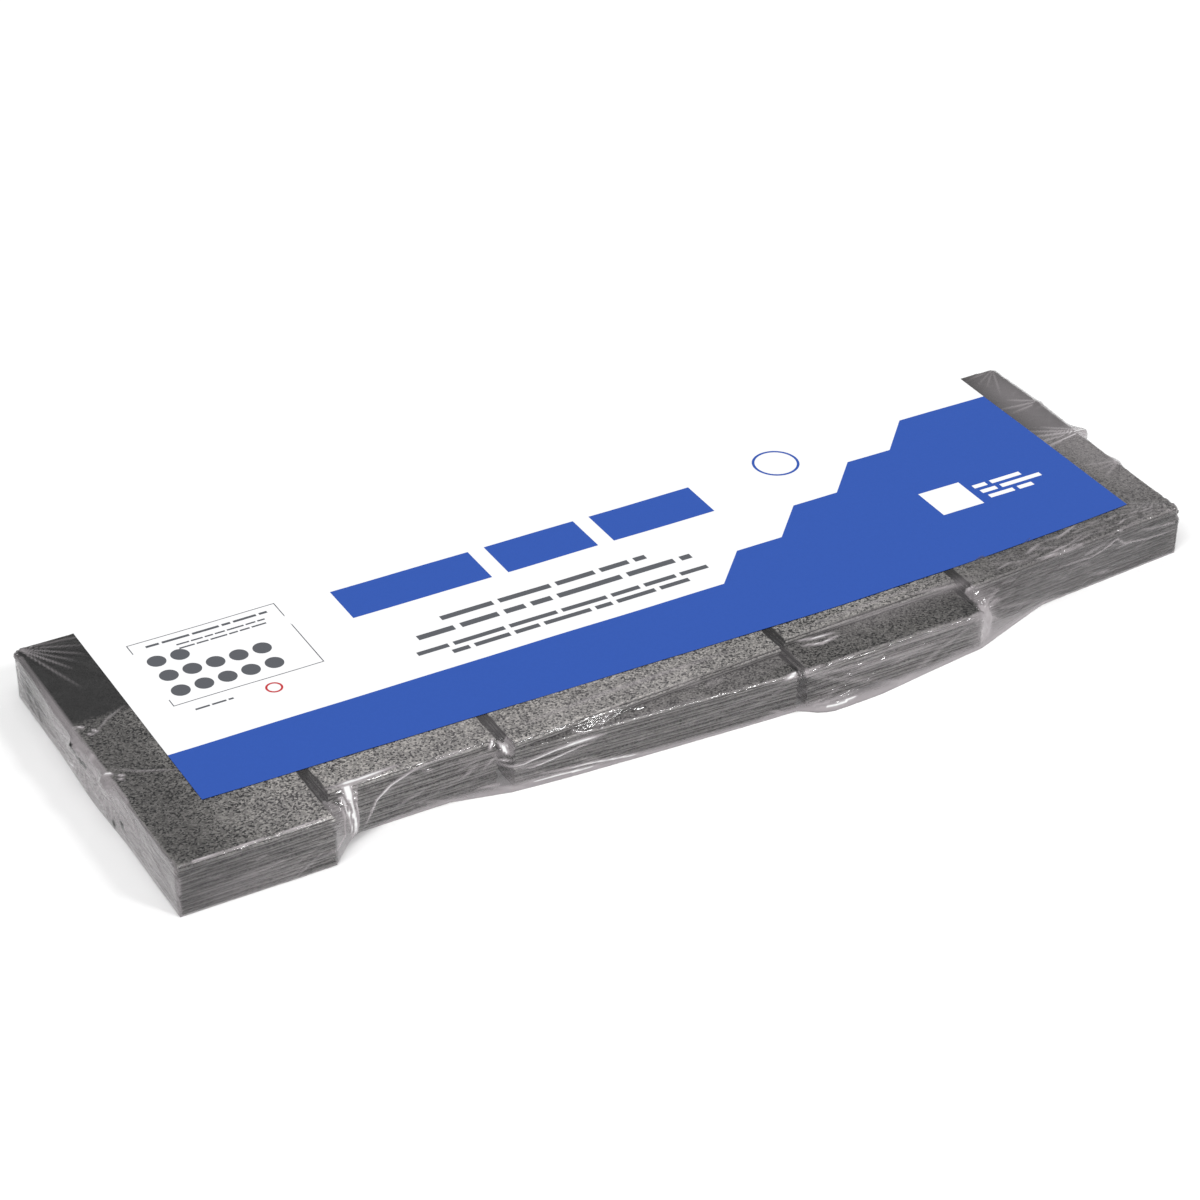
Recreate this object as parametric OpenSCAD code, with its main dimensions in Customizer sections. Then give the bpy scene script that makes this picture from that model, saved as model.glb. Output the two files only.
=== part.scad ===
// Bundle of asphalt roofing shingles in clear shrink film, with a printed sheet on top.
//
// X runs along the shingles, Y across them with the tabs towards -Y, Z up.
// The origin is the middle of the bundle's underside. All sizes are in millimetres.

/* [Shingle strip] */
// Length of a shingle strip
shingle_l = 1000; // [830:1:1200]
// Width of a shingle strip, from its longest tab to its headlap edge
shingle_w = 336; // [280:1:405]
// Thickness of a strip: bitumen on glass mat, sand below and granules above
shingle_t = 3.2; // [2:0.1:6]
// Number of strips in the bundle
shingle_count = 15; // [6:1:24]
// Most that a strip lies out of line with the others
slip = 0.8; // [0:0.1:2]

/* [Tabs] */
// Width of the first tab, at the left end
tab_1_w = 133; // [105:1:160]
// Width of the second tab
tab_2_w = 151; // [120:1:185]
// Width of the third tab
tab_3_w = 262; // [215:1:315]
// Width of the fourth tab; the fifth takes what is left of the length
tab_4_w = 179; // [145:1:215]
// Width of the slot between two tabs
slot_w = 9.5; // [5:0.5:14]
// How far the closed ends of the slots lie from the longest tab's edge
slot_reach = 145; // [110:1:180]
// Set-back of the second tab's edge, at its left and right corners
tab_2_cut = [31, 31]; // [0:1:60]
// Set-back of the third tab's edge in the long cut
tab_3_long = [19, 3]; // [0:1:60]
// Set-back of the third tab's edge in the short cut
tab_3_short = [19, 32]; // [0:1:60]
// Set-back of the fourth tab's edge in the long cut
tab_4_long = [3, 4]; // [0:1:60]
// Set-back of the fourth tab's edge in the short cut
tab_4_short = [40, 45]; // [0:1:60]
// Set-back of the fifth tab's edge
tab_5_cut = [30, 48]; // [0:1:60]
// Number of strips with the short cut, which lie on top
short_count = 3; // [1:1:5]

/* [Shrink film] */
// Thickness of the film
film_t = 0.1; // [0.05:0.01:0.3]
// How far the film runs along a set-back tab for each millimetre that it steps back
film_run = 1.2; // [0.5:0.1:2]

/* [Printed sheet] */
// Length of the sheet
sheet_l = 910; // [740:1:1000]
// Distance of the sheet's front edge from the longest tab's edge
sheet_front = 59; // [50:1:100]
// Thickness of the sheet
sheet_t = 0.15; // [0.1:0.05:0.4]
// How far the middle of the sheet lies to the right of the bundle's middle
sheet_shift = 6; // [-20:1:20]

/* [Hidden] */
long_count = shingle_count - short_count;
tab_1_cut = [0, 0];
long_cuts = [tab_1_cut, tab_2_cut, tab_3_long, tab_4_long, tab_5_cut];
short_cuts = [tab_1_cut, tab_2_cut, tab_3_short, tab_4_short, tab_5_cut];

// Left and right end of each tab, along the strip
tab_widths = [tab_1_w, tab_2_w, tab_3_w, tab_4_w];
function tab_left(k) = k == 0 ? 0 : tab_right(k - 1) + slot_w;
function tab_right(k) = k == last_tab ? shingle_l : tab_left(k) + tab_widths[k];
last_tab = len(tab_widths);

// Outline of a strip, its longest tab's edge on the X axis
function tab_outline(cuts, k) = [
    [tab_left(k), cuts[k][0]],
    [tab_right(k), cuts[k][1]],
    if (k < last_tab) each [[tab_right(k), slot_reach], [tab_left(k + 1), slot_reach]]
];
function strip_outline(cuts) = [
    [0, shingle_w],
    for (k = [0:last_tab]) each tab_outline(cuts, k),
    [shingle_l, shingle_w]
];

// Outline that the tight film takes: it bridges the slots, and slants from each
// corner that stands forward to the edge of the tab beside it
function edge_point(cuts, k, x) =
    [x, lookup(x, [[tab_left(k), cuts[k][0]], [tab_right(k), cuts[k][1]]])];
function left_run(cuts, k) = k == 0 ? 0 : film_run * max(0, cuts[k][0] - cuts[k - 1][1]);
function right_run(cuts, k) =
    k == last_tab ? 0 : film_run * max(0, cuts[k][1] - cuts[k + 1][0]);
function wrap_outline(cuts) = [
    [0, shingle_w],
    for (k = [0:last_tab]) each [
        edge_point(cuts, k, tab_left(k) + left_run(cuts, k)),
        edge_point(cuts, k, tab_right(k) - right_run(cuts, k))
    ],
    [shingle_l, shingle_w]
];

// Outline moved outwards by a distance; it runs anticlockwise
function unit(v) = v / norm(v);
function outward(a, b) = let (d = unit(b - a)) [d[1], -d[0]];
function grown(outline, distance) = [
    for (i = [0:len(outline) - 1])
        let (
            count = len(outline),
            before = outward(outline[(i + count - 1) % count], outline[i]),
            after = outward(outline[i], outline[(i + 1) % count])
        )
        outline[i] + distance * (before + after) / (1 + before * after)
];

// How far strip i lies out of line, along and across the bundle
slip_turn = 137.5;
function slip_of(i) = slip * [sin(slip_turn * i), cos(slip_turn * i)];

function shingle_name(i) = str("shingle_", i < 10 ? "0" : "", i);

module from_corner() {
    translate([-shingle_l / 2, -shingle_w / 2, 0]) children();
}

module shingle(i) {
    cuts = i > long_count ? short_cuts : long_cuts;
    color("dimgray")
    from_corner()
    translate([slip_of(i)[0], slip_of(i)[1], film_t + (i - 1) * shingle_t])
    linear_extrude(shingle_t)
    polygon(strip_outline(cuts));
}

// The film's outside, or its inside when inset is its thickness
module film_body(inset) {
    reach = slip + film_t - inset;
    for (step = [[long_cuts, long_count], [short_cuts, shingle_count]])
        translate([0, 0, inset])
        linear_extrude(step[1] * shingle_t + 2 * (film_t - inset))
        polygon(grown(wrap_outline(step[0]), reach));
}

module shrink_film() {
    color("gainsboro", 0.4)
    from_corner()
    difference() {
        film_body(0);
        film_body(film_t);
    }
}

module printed_sheet() {
    color("royalblue")
    translate([
        sheet_shift - sheet_l / 2,
        sheet_front - shingle_w / 2,
        shingle_count * shingle_t + 2 * film_t
    ])
    cube([sheet_l, shingle_w - sheet_front, sheet_t]);
}

for (i = [1:shingle_count])
    shingle(i);
shrink_film();
printed_sheet();
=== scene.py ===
"""Looks of a shrink-wrapped bundle of asphalt shingles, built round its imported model."""

import math

import bmesh
import bpy
import numpy as np
from mathutils import Matrix, Vector


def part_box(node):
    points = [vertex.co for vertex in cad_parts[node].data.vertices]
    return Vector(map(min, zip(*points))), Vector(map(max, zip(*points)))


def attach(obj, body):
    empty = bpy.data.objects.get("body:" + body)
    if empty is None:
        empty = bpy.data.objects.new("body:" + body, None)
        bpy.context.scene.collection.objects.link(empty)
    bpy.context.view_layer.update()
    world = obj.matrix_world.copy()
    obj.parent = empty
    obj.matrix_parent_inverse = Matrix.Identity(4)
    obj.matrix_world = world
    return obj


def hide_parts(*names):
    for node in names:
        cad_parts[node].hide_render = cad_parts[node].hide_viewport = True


bl_info = {
    "name": "Asphalt Shingle Bundle",
    "version": (1, 0, 0),
    "blender": (4, 5, 0),
    "location": "3D View > Sidebar > Shingle Bundle",
    "description": "Builds the strips, the shrink film and the printed sheet of a bundle",
    "category": "Add Mesh",
}

MM = 0.001
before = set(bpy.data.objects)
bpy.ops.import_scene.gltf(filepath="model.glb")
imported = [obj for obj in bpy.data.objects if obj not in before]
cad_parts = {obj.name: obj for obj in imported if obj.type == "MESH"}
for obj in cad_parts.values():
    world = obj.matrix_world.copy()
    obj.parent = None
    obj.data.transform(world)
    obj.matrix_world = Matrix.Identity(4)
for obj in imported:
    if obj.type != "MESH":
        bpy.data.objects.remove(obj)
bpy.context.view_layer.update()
STRIPS = sorted(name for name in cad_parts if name.startswith("shingle_"))
TOP_STRIP = STRIPS[-1]
STACK_LOW, STACK_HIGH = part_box(STRIPS[0])[0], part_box(TOP_STRIP)[1]
STACK_TOP = STACK_HIGH.z
STRIP_PITCH = (STACK_TOP - STACK_LOW.z) / len(STRIPS)
STRIP_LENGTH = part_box(TOP_STRIP)[1].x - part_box(TOP_STRIP)[0].x
STRIP_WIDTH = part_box(STRIPS[0])[1].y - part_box(STRIPS[0])[0].y
LEFT_END = -STRIP_LENGTH / 2
FRONT_EDGE = -STRIP_WIDTH / 2
SHEET_LOW, SHEET_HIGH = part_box("printed_sheet")


def along(distance):
    """Place along the bundle, from its left end, given in millimetres."""
    return LEFT_END + distance * MM


def across(distance):
    """Place across the bundle, from its longest tab's edge, given in millimetres."""
    return FRONT_EDGE + distance * MM


# Colours and material nodes


def linear(code):
    """Linear colour of an sRGB hex code."""
    shares = [int(code[i : i + 2], 16) / 255 for i in (1, 3, 5)]
    return tuple(s / 12.92 if s <= 0.04045 else ((s + 0.055) / 1.055) ** 2.4 for s in shares)


def add_node(tree, kind, settings=None, **inputs):
    """A shader node with its settings, or its operation alone, and its inputs. An input is
    named, or numbered as i0, and takes a value, a socket, or a node's first output."""
    node = tree.nodes.new("ShaderNode" + kind)
    if isinstance(settings, str):
        settings = {"operation": settings}
    for name, value in (settings or {}).items():
        setattr(node, name, value)
    for name, value in inputs.items():
        key = int(name[1:]) if name[0] == "i" and name[1:].isdigit() else name.replace("_", " ")
        if isinstance(value, bpy.types.Node):
            value = value.outputs[0]
        if isinstance(value, bpy.types.NodeSocket):
            tree.links.new(value, node.inputs[key])
        else:
            node.inputs[key].default_value = value
    return node


def new_material(name):
    """An empty node material and its tree."""
    material = bpy.data.materials.new(name)
    material.use_nodes = True
    material.node_tree.nodes.clear()
    return material, material.node_tree


def set_ramp(ramp_node, stops):
    """Sets a colour ramp's stops, each a place and a linear colour."""
    elements = ramp_node.color_ramp.elements
    while len(elements) < len(stops):
        elements.new(1.0)
    for element, (place, colour) in zip(elements, stops):
        element.position = place
        element.color = (*colour[:3], 1.0)


def show(tree, shader):
    """Links a shader to the material's output."""
    add_node(tree, "OutputMaterial", Surface=shader)


# Settings


def length_setting(name, description, default):
    """A length that a user may change."""
    return bpy.props.FloatProperty(name=name, description=description, default=default, unit="LENGTH")


def colour_setting(name, description, code):
    """A colour that a user may change, given as an sRGB hex code."""
    return bpy.props.FloatVectorProperty(
        name=name, description=description, default=linear(code), subtype="COLOR"
    )


class StripSettings(bpy.types.PropertyGroup):
    """Sizes and colours of the shingle strips."""

    edge_step: length_setting("Edge step", "Spacing of the points along a strip's cut edge", 2.5 * MM)
    edge_wear: length_setting("Edge wear", "How far the cut edge wanders in and out", 0.35 * MM)
    edge_round: length_setting(
        "Edge rounding", "How far the upper and lower corners of the cut edge draw back", 1.0 * MM
    )
    granule: length_setting("Granule", "Width of a mineral granule as it is drawn", 1.35 * MM)
    headlap_start: length_setting(
        "Headlap start", "Distance from the longest tab's edge at which the granules end", 212 * MM
    )
    granule_dark: colour_setting("Dark granule", "Colour of the darkest granules", "#2b2b2c")
    granule_light: colour_setting("Light granule", "Colour of the lightest granules", "#e2deda")
    filler: colour_setting("Filler", "Colour of the filled bitumen that a cut edge shows", "#b6b3b1")
    bitumen: colour_setting("Bitumen", "Colour of the bare and sanded bitumen", "#0d0d0e")


class FilmSettings(bpy.types.PropertyGroup):
    """Sizes and colour of the shrink film."""

    standoff: length_setting("Standoff", "Clear distance from the strips' sides to the film", 0.9 * MM)
    cover: length_setting("Cover", "Clear distance from the top strip to the film", 0.35 * MM)
    haze: colour_setting("Haze", "Colour of the light that the film scatters", "#c2bbbe")
    clear_haze: bpy.props.FloatProperty(
        name="Clear haze",
        description="Share of the light that a single tight layer scatters",
        default=0.006,
        subtype="FACTOR",
    )
    gathered_haze: bpy.props.FloatProperty(
        name="Gathered haze",
        description="Share of the light that gathered film scatters besides",
        default=0.9,
        subtype="FACTOR",
    )


class SheetSettings(bpy.types.PropertyGroup):
    """Sizes and colours of the printed sheet."""

    front_middle: length_setting(
        "Front middle", "Distance from the bundle's left end of the front edge's foremost place", 610 * MM
    )
    left_draw: length_setting(
        "Left draw", "How far the front edge draws back towards the left end", 9.5 * MM
    )
    right_draw: length_setting(
        "Right draw", "How far the front edge draws back towards the right end", 14 * MM
    )
    band: length_setting("Band", "Depth of the blue band, from the front edge's middle", 77 * MM)
    stair_start: length_setting(
        "Stair start", "Distance from the bundle's left end at which the blue area starts to rise", 573 * MM
    )
    stair_run: length_setting("Stair run", "Length of each slanting rise", 38 * MM)
    stair_rise: length_setting("Stair rise", "Height of each slanting rise across the sheet", 40 * MM)
    stair_flat: length_setting("Stair flat", "Length of each level stretch between rises", 46.5 * MM)
    stair_count: bpy.props.IntProperty(name="Stair count", description="Number of rises", default=4)
    blue: colour_setting("Blue", "Colour of the printed blue", "#2f55ac")
    white: colour_setting("White", "Colour of the bare sheet", "#f6f6f7")
    grey: colour_setting("Grey", "Colour of the small grey print", "#5b5d62")
    red: colour_setting("Red", "Colour of the small red print", "#c2353b")


class StageSettings(bpy.types.PropertyGroup):
    """Camera and floor."""

    lens: bpy.props.FloatProperty(
        name="Lens",
        description="Focal length of the camera in millimetres, for a 36 mm sensor",
        default=98.1,
    )
    camera_place: bpy.props.FloatVectorProperty(
        name="Camera place",
        description="Place of the camera from the middle of the bundle's underside",
        subtype="XYZ",
        unit="LENGTH",
        default=(-1.2122, -2.0322, 1.5965),
    )
    camera_turn: bpy.props.FloatVectorProperty(
        name="Camera turn",
        description="Yaw to the right, pitch down and roll of the camera",
        subtype="EULER",
        default=(math.radians(30.136), math.radians(33.402), math.radians(0.767)),
    )
    floor: colour_setting("Floor", "Colour of the floor", "#fbfbfb")


# Shingle strips


def outline_of(node):
    """Corners of a CAD plate's outline seen from above, anticlockwise, as an array."""
    mesh = bmesh.new()
    mesh.from_mesh(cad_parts[node].data)
    bmesh.ops.remove_doubles(mesh, verts=mesh.verts, dist=0.01 * MM)
    lids = [face for face in mesh.faces if face.normal.z > 0.9]
    follows = {}
    for face in lids:
        for loop in face.loops:
            other = loop.link_loop_radial_next
            if other.face == face or other.face not in lids:
                follows[loop.vert.index] = loop.link_loop_next.vert
    corner = first = next(iter(follows))
    points = []
    while not points or corner != first:
        vertex = follows[corner]
        points.append((vertex.co.x, vertex.co.y))
        corner = vertex.index
    mesh.free()
    return np.array(points)


def even_points(outline, step):
    """The outline with points spaced evenly along each edge, and each point's outward way."""
    points, ways = [], []
    for a, b in zip(outline, np.roll(outline, -1, axis=0)):
        length = np.linalg.norm(b - a)
        if length < 0.1 * MM:
            continue
        count = max(1, round(length / step))
        way = np.array([b[1] - a[1], a[0] - b[0]]) / length
        for share in np.arange(count) / count:
            points.append(a + (b - a) * share)
            ways.append(way)
    ways = np.array(ways)
    ways = ways + np.roll(ways, 1, axis=0)
    ways /= np.linalg.norm(ways, axis=1, keepdims=True)
    return np.array(points), ways


def smooth_noise(rng, count, reach):
    """Random numbers round a closed loop, smoothed over a number of neighbours."""
    noise = rng.normal(size=count)
    for _ in range(reach):
        noise = (np.roll(noise, 1) + 2 * noise + np.roll(noise, -1)) / 4
    return noise / noise.std()


def mesh_object(name, points, faces, materials, slots=None, smooth=False):
    """A mesh object from points and faces, with a material for each face's slot."""
    mesh = bpy.data.meshes.new(name)
    mesh.from_pydata([tuple(p) for p in points], [], [tuple(f) for f in faces])
    for material in materials:
        mesh.materials.append(material)
    if slots is not None:
        mesh.polygons.foreach_set("material_index", np.array(slots, dtype=np.int32))
    mesh.polygons.foreach_set("use_smooth", np.full(len(mesh.polygons), smooth))
    mesh.update()
    piece = bpy.data.objects.new(name, mesh)
    bpy.context.scene.collection.objects.link(piece)
    return piece


# How often a cut edge's long and short wandering are smoothed over neighbouring points
LONG_WANDER, SHORT_WANDER = 60, 2
# A worn cut edge's rings: height share, and how much of the rounding each draws back
EDGE_RINGS = [(0.0, 0.9), (0.22, 0.2), (0.5, 0.0), (0.8, 0.2), (1.0, 1.0)]


def strip_piece(node, settings, material, seed):
    """One strip: a flat plate whose cut edge is worn and rounded, ring by ring."""
    rng = np.random.default_rng(seed)
    low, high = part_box(node)
    points, ways = even_points(outline_of(node), settings.edge_step)
    count = len(points)
    wander = smooth_noise(rng, count, LONG_WANDER) + 0.5 * smooth_noise(rng, count, SHORT_WANDER)
    rows = []
    for height, round_share in EDGE_RINGS:
        grain = smooth_noise(rng, count, 1) * 0.4
        inset = settings.edge_wear * (wander + grain) + settings.edge_round * round_share
        inset = np.maximum(inset, 0.0)
        plan = points - ways * inset[:, None]
        z = low.z + (high.z - low.z) * height
        rows.append(np.column_stack([plan, np.full(count, z)]))
    faces = []
    top = (len(EDGE_RINGS) - 1) * count
    for lower in range(0, top, count):
        upper = lower + count
        for i in range(count):
            j = (i + 1) % count
            faces.append((lower + i, lower + j, upper + j, upper + i))
    faces.append(tuple(range(top, top + count)))
    faces.append(tuple(range(count - 1, -1, -1)))
    piece = mesh_object(node + "_worn", np.vstack(rows), faces, [material])
    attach(piece, "root")
    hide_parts(node)
    return piece


# Shade of the granules, from the strip's left end to its right
GRANULE_SHADES = [
    (0.03, 0.36), (0.1, 0.95), (0.2, 1.0), (0.45, 1.0), (0.55, 0.9), (0.7, 0.9), (0.8, 0.34),
    (0.94, 0.34), (1.0, 0.5),
]


def granule_material(settings):
    """Crushed basalt granules rolled into SBS bitumen: dull, coarse and speckled from
    near black to pale grey. Behind the granules the headlap is fine-sanded black
    bitumen with a slight sheen, and a cut edge shows dark bitumen at the sanded back of
    each strip and pale filler and granules above it."""
    material, tree = new_material("Basalt granules on bitumen")
    place = add_node(tree, "TexCoord").outputs["Object"]
    # one cell to each granule; real granules are 1 mm wide and would blur to one grey
    cells = add_node(tree, "TexVoronoi", Vector=place, Scale=1 / settings.granule, Randomness=1.0)
    shade = add_node(tree, "SeparateColor", Color=cells.outputs["Color"])
    # clouds of lighter and darker granules, about 30 mm across
    clouds = add_node(tree, "TexNoise", Vector=place, Scale=33.0, Detail=4.0)
    blend = add_node(
        tree, "Math", "MULTIPLY_ADD", i0=clouds.outputs["Fac"], i1=0.5, i2=shade.outputs["Red"]
    )
    share = add_node(tree, "Math", "DIVIDE", i0=blend, i1=1.4)
    speckle = add_node(tree, "ValToRGB", Fac=share)
    dark, light = settings.granule_dark, settings.granule_light
    middle = [0.5 * a + 0.5 * b for a, b in zip(dark, light)]
    set_ramp(speckle, [(0.16, dark), (0.32, dark), (0.42, middle), (0.62, middle), (0.8, light)])

    # the height within a strip, from 0 at its sanded back to 1 at its granules
    sides = add_node(tree, "SeparateXYZ", Vector=place)
    wobble = add_node(tree, "TexNoise", Vector=place, Scale=120.0, Detail=3.0)
    level = add_node(
        tree,
        "Math",
        "MULTIPLY_ADD",
        i0=sides.outputs["Z"],
        i1=1 / STRIP_PITCH,
        i2=-(STACK_LOW.z + 0.02 * STRIP_PITCH) / STRIP_PITCH,
    )
    within = add_node(tree, "Math", "FRACT", i0=level)
    raised = add_node(tree, "Math", "MULTIPLY_ADD", i0=wobble.outputs["Fac"], i1=-0.3, i2=within)
    layer = add_node(
        tree, "MapRange", Value=raised, From_Min=0.1, From_Max=0.32, To_Min=0.1, To_Max=1.3
    )
    # each strip's edge is a little paler or darker than the next, in long streaks
    drawn = add_node(tree, "VectorMath", "MULTIPLY", i0=place, i1=(22.0, 22.0, 300.0))
    streak = add_node(tree, "TexNoise", Vector=drawn, Scale=1.0, Detail=2.0)
    tone = add_node(
        tree, "MapRange", Value=streak.outputs["Fac"], From_Min=0.3, From_Max=0.7, To_Min=0.7, To_Max=1.15
    )
    facing = add_node(tree, "NewGeometry").outputs["Normal"]
    upright = add_node(tree, "SeparateXYZ", Vector=facing)
    flat = add_node(tree, "Math", "ABSOLUTE", i0=upright.outputs["Z"])
    on_edge = add_node(tree, "MapRange", Value=flat, From_Min=0.9, From_Max=0.7)
    rough_cut = add_node(tree, "Math", "MULTIPLY", i0=layer, i1=tone)
    # the knife leaves the walls of the slots smooth, and they are painted dark: painted shade
    # of the deep narrow slots, together with the darker bare bitumen
    sideways = add_node(tree, "Math", "ABSOLUTE", i0=upright.outputs["X"])
    outer = add_node(tree, "Math", "ABSOLUTE", i0=sides.outputs["X"])
    inner = add_node(tree, "Math", "LESS_THAN", i0=outer, i1=-LEFT_END - 10 * MM)
    slot_wall_shade = add_node(tree, "Math", "MULTIPLY", i0=sideways, i1=inner)
    edge_rows_and_slot_shade = add_node(tree, "Mix", {"data_type": "FLOAT"}, i0=slot_wall_shade, i2=rough_cut, i3=0.08)
    dimming = add_node(tree, "Mix", {"data_type": "FLOAT"}, i0=on_edge, i2=1.0, i3=edge_rows_and_slot_shade)

    # headlap: black behind the granules, the join uneven by a few granules
    ragged = add_node(tree, "TexNoise", Vector=place, Scale=180.0, Detail=2.0)
    edge = add_node(
        tree, "Math", "MULTIPLY_ADD", i0=ragged.outputs["Fac"], i1=14 * MM, i2=sides.outputs["Y"]
    )
    behind = add_node(
        tree,
        "MapRange",
        Value=edge,
        From_Min=FRONT_EDGE + settings.headlap_start + 4 * MM,
        From_Max=FRONT_EDGE + settings.headlap_start + 12 * MM,
        To_Max=0.93,
    )
    # the granules are dropped in shades along the strip, palest on its second and third tabs
    shades = add_node(tree, "MapRange", Value=sides.outputs["X"], From_Min=LEFT_END, From_Max=-LEFT_END)
    drop = add_node(tree, "ValToRGB", Fac=shades)
    set_ramp(drop, [(where, (tone_there,) * 3) for where, tone_there in GRANULE_SHADES])
    # the ledges lie a little in the shade of the film stretched over them
    sunken = add_node(
        tree,
        "MapRange",
        Value=sides.outputs["Z"],
        From_Min=STACK_TOP - 2 * STRIP_PITCH,
        From_Max=STACK_TOP - STRIP_PITCH,
        To_Min=0.4,
    )
    drop_there = add_node(tree, "VectorMath", "SCALE", i0=drop, Scale=sunken)
    shaded = add_node(
        tree, "Mix", {"data_type": "RGBA", "blend_type": "MULTIPLY"}, Factor=1.0, i6=speckle, i7=drop_there
    )
    # a cut edge shows fewer granules and more of the grey filler
    filler = add_node(tree, "Math", "MULTIPLY", i0=on_edge, i1=0.6)
    shaded_filler = add_node(
        tree,
        "Mix",
        {"data_type": "RGBA", "blend_type": "MULTIPLY"},
        Factor=0.75,
        i6=(*settings.filler, 1.0),
        i7=drop,
    )
    filled = add_node(
        tree, "Mix", {"data_type": "RGBA"}, Factor=filler, i6=shaded.outputs[2], i7=shaded_filler.outputs[2]
    )
    colour = add_node(
        tree, "Mix", {"data_type": "RGBA"}, Factor=behind, i6=filled.outputs[2], i7=(*settings.bitumen, 1.0)
    )
    dimmed = add_node(tree, "VectorMath", "SCALE", i0=colour.outputs[2], Scale=dimming)
    # granules stand 0.5 mm proud, and fine grit between them
    grit = add_node(tree, "TexNoise", Vector=place, Scale=1400.0, Detail=2.0)
    height = add_node(
        tree, "Math", "MULTIPLY_ADD", i0=grit.outputs["Fac"], i1=0.4, i2=cells.outputs["Distance"]
    )
    bump = add_node(tree, "Bump", {"invert": True}, Strength=0.8, Distance=0.5 * MM, Height=height)
    shader = add_node(
        tree,
        "BsdfPrincipled",
        Base_Color=dimmed,
        Roughness=0.6,
        IOR=1.5,
        Specular_IOR_Level=0.25,
        Normal=bump,
    )
    show(tree, shader)
    return material


# Shrink film


def plan_distance(outline, xs, ys):
    """Signed distance to a closed outline on a grid of places, negative inside."""
    px, py = np.meshgrid(xs, ys, indexing="ij")
    nearest = np.full(px.shape, np.inf)
    inside = np.zeros(px.shape, dtype=bool)
    for (ax, ay), (bx, by) in zip(outline, np.roll(outline, -1, axis=0)):
        dx, dy = bx - ax, by - ay
        share = np.clip(((px - ax) * dx + (py - ay) * dy) / (dx * dx + dy * dy), 0, 1)
        nearest = np.minimum(nearest, np.hypot(px - ax - share * dx, py - ay - share * dy))
        crosses = (ay > py) != (by > py)
        if dy:
            inside ^= crosses & (px < ax + (py - ay) * dx / dy)
    return np.where(inside, -nearest, nearest)


class Level:
    """The part of the stack that has one outline, from the floor up to a height. Its plan
    distances are kept on a grid that reaches past the strips."""

    STEP = 1.5 * MM
    MARGIN = 40 * MM

    def __init__(self, node, cover):
        self.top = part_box(node)[1].z + cover
        half_x, half_y = STRIP_LENGTH / 2 + self.MARGIN, STRIP_WIDTH / 2 + self.MARGIN
        self.xs = np.arange(-half_x, half_x, self.STEP)
        self.ys = np.arange(-half_y, half_y, self.STEP)
        self.distance = plan_distance(outline_of(node), self.xs, self.ys)
        self.slope_x, self.slope_y = np.gradient(self.distance, self.STEP)

    def read(self, points):
        """Plan distance and its slopes at the points."""
        i = np.clip((points[:, 0] - self.xs[0]) / self.STEP, 0, len(self.xs) - 2)
        j = np.clip((points[:, 1] - self.ys[0]) / self.STEP, 0, len(self.ys) - 2)
        i0, j0 = i.astype(int), j.astype(int)
        fi, fj = i - i0, j - j0
        found = []
        for grid in (self.distance, self.slope_x, self.slope_y):
            near = grid[i0, j0] * (1 - fj) + grid[i0, j0 + 1] * fj
            far = grid[i0 + 1, j0] * (1 - fj) + grid[i0 + 1, j0 + 1] * fj
            found.append(near * (1 - fi) + far * fi)
        return found

    def push_out(self, points, standoff):
        """Moves points that lie inside this part of the stack to its surface."""
        distance, slope_x, slope_y = self.read(points)
        side = distance - standoff
        above = points[:, 2] - self.top
        inside = (side < 0) & (above < 0)
        sideways = inside & (side > above)
        upwards = inside & ~sideways
        points[sideways, 0] -= side[sideways] * slope_x[sideways]
        points[sideways, 1] -= side[sideways] * slope_y[sideways]
        points[upwards, 2] = self.top


# Where the film meets the floor along the tabs: places along and across, in mm. It
# stands clear of the second slot, and bulges in front of the fourth and fifth tabs.
FRONT_FLOOR_LINE = [
    (0, -1), (133, -1), (163, 29), (250, 29), (300, 17), (342, 13), (415, 8.5), (510, 3.5),
    (566, 1), (581, -11), (594, -14), (640, -12.5), (696, -4.5), (740, 1.5), (756, 3.5),
    (842, 34), (1000, 46.5),
]
# The same along the two ends: places across and how far out
LEFT_FLOOR_LINE = [(0, 1), (100, 1), (169, 3.5), (250, 1), (336, 1)]
RIGHT_FLOOR_LINE = [(0, 1), (336, 1)]


def lattice_surface(counts):
    """Which points of a box lattice lie on the film, with their neighbours and faces."""
    nx, ny, nz = counts
    i, j, k = np.indices((nx + 1, ny + 1, nz + 1))
    on_film = (i == 0) | (i == nx) | (j == 0) | (j == ny) | (k == nz)
    index = np.full(on_film.shape, -1)
    index[on_film] = np.arange(on_film.sum())
    padded = np.pad(index, 1, constant_values=-1)
    neighbours = []
    for axis in range(3):
        for step in (-1, 1):
            moved = np.roll(padded, -step, axis=axis)[1:-1, 1:-1, 1:-1]
            neighbours.append(moved[on_film])
    neighbours = np.array(neighbours).T
    quads = []
    for plane, turn in (
        (index[:, :, nz], False),
        (index[:, 0, :], False),
        (index[:, ny, :], True),
        (index[0, :, :], True),
        (index[nx, :, :], False),
    ):
        a, b = plane[:-1, :-1].ravel(), plane[1:, :-1].ravel()
        c, d = plane[1:, 1:].ravel(), plane[:-1, 1:].ravel()
        corners = (d, c, b, a) if turn else (a, b, c, d)
        quads.append(np.column_stack(corners))
    return on_film, neighbours, np.vstack(quads)


# Cells of the film's first lattice along, across and up, and how many rounds it is pulled
# for before each time its cells are halved, and at last
LATTICE_CELLS = (140, 46, 8)
PULL_ROUNDS = (300, 120, 40)
# Share of the way to its neighbours' mean that a point moves in each round
PULL = 0.9


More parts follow.
